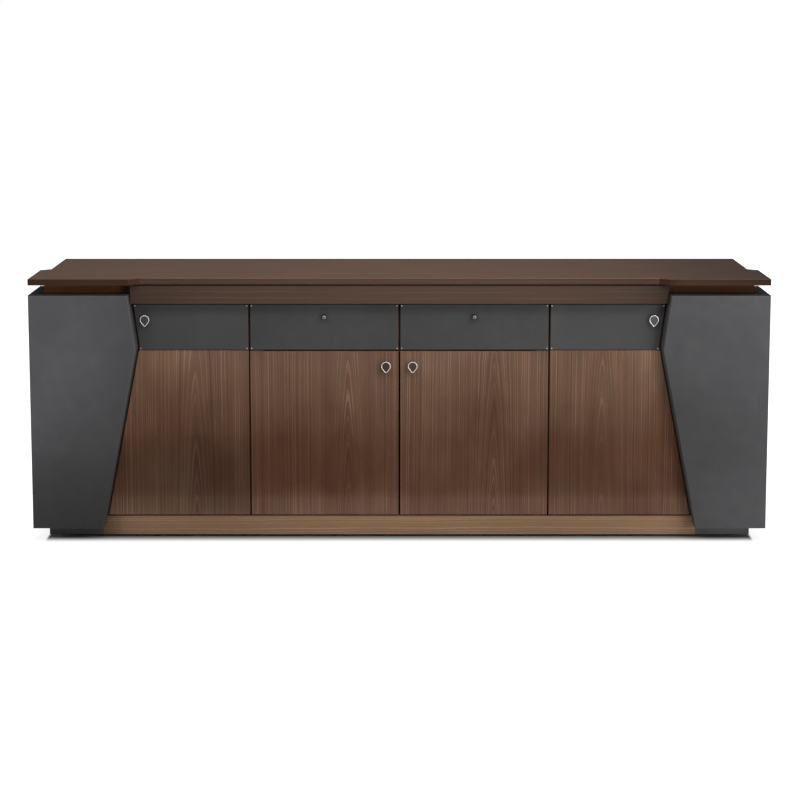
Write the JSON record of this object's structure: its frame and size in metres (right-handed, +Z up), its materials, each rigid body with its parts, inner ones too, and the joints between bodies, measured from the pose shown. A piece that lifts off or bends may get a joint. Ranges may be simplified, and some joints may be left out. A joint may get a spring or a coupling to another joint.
{
  "type": "office credenza",
  "caption": "Low office credenza: thin stepped worktop, faceted leather corner pillars with slanted inner edges, hinged walnut doors, shallow drawers, recessed plinth on glides.",
  "frame": {"origin": "on the floor, under the middle of the bounding box", "axes": "+X to the viewer's right along the length, +Y to the back, +Z up; the doors face -Y"},
  "size_m": [2.2, 0.45, 0.8],
  "materials": {
    "worktop_walnut": "dark walnut veneer, satin lacquer, grain along the length",
    "front_walnut": "walnut crown-cut veneer, satin lacquer",
    "plinth_walnut": "lighter walnut veneer, satin lacquer, grain along the length",
    "carcass_walnut": "dark walnut veneer, satin lacquer",
    "drawer_walnut": "walnut veneer edge behind the grey facing",
    "pillar_leather": "charcoal grey, fine grain, wrapped round the edges",
    "facing_leather": "charcoal grey, fine grain",
    "plinth_black": "black stained board",
    "glide_black": "black moulded plastic",
    "chrome": "polished",
    "pivot_steel": "black zinc plated",
    "catch_plastic": "black moulded plastic",
    "slide_steel": "zinc plated, rolled",
    "angle_steel": "zinc plated",
    "drawer_board": "light birch board, clear lacquer"
  },
  "bodies": {
    "root": {"apron": "worktop_walnut", "back_panels": "carcass_walnut", "cabinet_slides": "slide_steel", "carcass_bottom": "carcass_walnut", "carcass_side_left": "carcass_walnut", "carcass_side_right": "carcass_walnut", "carcass_top": "carcass_walnut", "corner_panels": "carcass_walnut", "drawer_deck": "carcass_walnut", "drawer_divider": "carcass_walnut", "glides": "glide_black", "magnetic_catches": "catch_plastic", "partition_left": "carcass_walnut", "partition_right": "carcass_walnut", "pillar_battens": "carcass_walnut", "pillar_front_left": "pillar_leather", "pillar_front_right": "pillar_leather", "pillar_return_left": "pillar_leather", "pillar_return_right": "pillar_leather", "pillar_side_left": "pillar_leather", "pillar_side_right": "pillar_leather", "pivot_plates": "pivot_steel", "plinth_fascia": "plinth_walnut", "plinth_frame": "plinth_black", "riser_frame": "carcass_walnut", "shelf_supports": "angle_steel", "shelves": "carcass_walnut", "worktop": "worktop_walnut"},
    "outer_door_left": {"outer_door_left": "front_walnut", "outer_door_pull_left": "chrome", "outer_door_fittings_left": "pivot_steel", "outer_door_face_left": "facing_leather"},
    "centre_door_left": {"centre_door_left": "front_walnut", "centre_door_pull_left": "chrome", "centre_door_fittings_left": "pivot_steel"},
    "drawer_left": {"drawer_front_left": "drawer_walnut", "drawer_face_left": "facing_leather", "drawer_knob_left": "chrome", "drawer_box_left": "drawer_board", "drawer_slides_left": "slide_steel"},
    "middle_slides_left": {"middle_slides_left": "slide_steel"},
    "outer_door_right": {"outer_door_right": "front_walnut", "outer_door_pull_right": "chrome", "outer_door_fittings_right": "pivot_steel", "outer_door_face_right": "facing_leather"},
    "centre_door_right": {"centre_door_right": "front_walnut", "centre_door_pull_right": "chrome", "centre_door_fittings_right": "pivot_steel"},
    "drawer_right": {"drawer_front_right": "drawer_walnut", "drawer_face_right": "facing_leather", "drawer_knob_right": "chrome", "drawer_box_right": "drawer_board", "drawer_slides_right": "slide_steel"},
    "middle_slides_right": {"middle_slides_right": "slide_steel"}
  },
  "joints": [
    {"name": "outer_door_left_hinge", "type": "hinge", "parent": "root", "child": "outer_door_left", "pos_m": [-0.4585, -0.159, 0], "axis": [0, 0, 1], "range_deg": [0, 85]},
    {"name": "centre_door_left_hinge", "type": "hinge", "parent": "root", "child": "centre_door_left", "pos_m": [-0.4415, -0.159, 0], "axis": [0, 0, -1], "range_deg": [0, 85]},
    {"name": "centre_door_right_hinge", "type": "hinge", "parent": "root", "child": "centre_door_right", "pos_m": [0.4415, -0.159, 0], "axis": [0, 0, 1], "range_deg": [0, 85]},
    {"name": "outer_door_right_hinge", "type": "hinge", "parent": "root", "child": "outer_door_right", "pos_m": [0.4585, -0.159, 0], "axis": [0, 0, -1], "range_deg": [0, 85]},
    {"name": "drawer_left_slide", "type": "slide", "parent": "root", "child": "drawer_left", "axis": [0, -1, 0], "range_m": [0, 0.3]},
    {"name": "middle_slides_left_slide", "type": "slide", "parent": "root", "child": "middle_slides_left", "axis": [0, -1, 0], "range_m": [0, 0.15]},
    {"name": "drawer_right_slide", "type": "slide", "parent": "root", "child": "drawer_right", "axis": [0, -1, 0], "range_m": [0, 0.3]},
    {"name": "middle_slides_right_slide", "type": "slide", "parent": "root", "child": "middle_slides_right", "axis": [0, -1, 0], "range_m": [0, 0.15]}
  ],
  "couplings": [
    {"joint": "middle_slides_left_slide", "follows": "drawer_left_slide", "ratio": 0.5},
    {"joint": "middle_slides_right_slide", "follows": "drawer_right_slide", "ratio": 0.5}
  ]
}
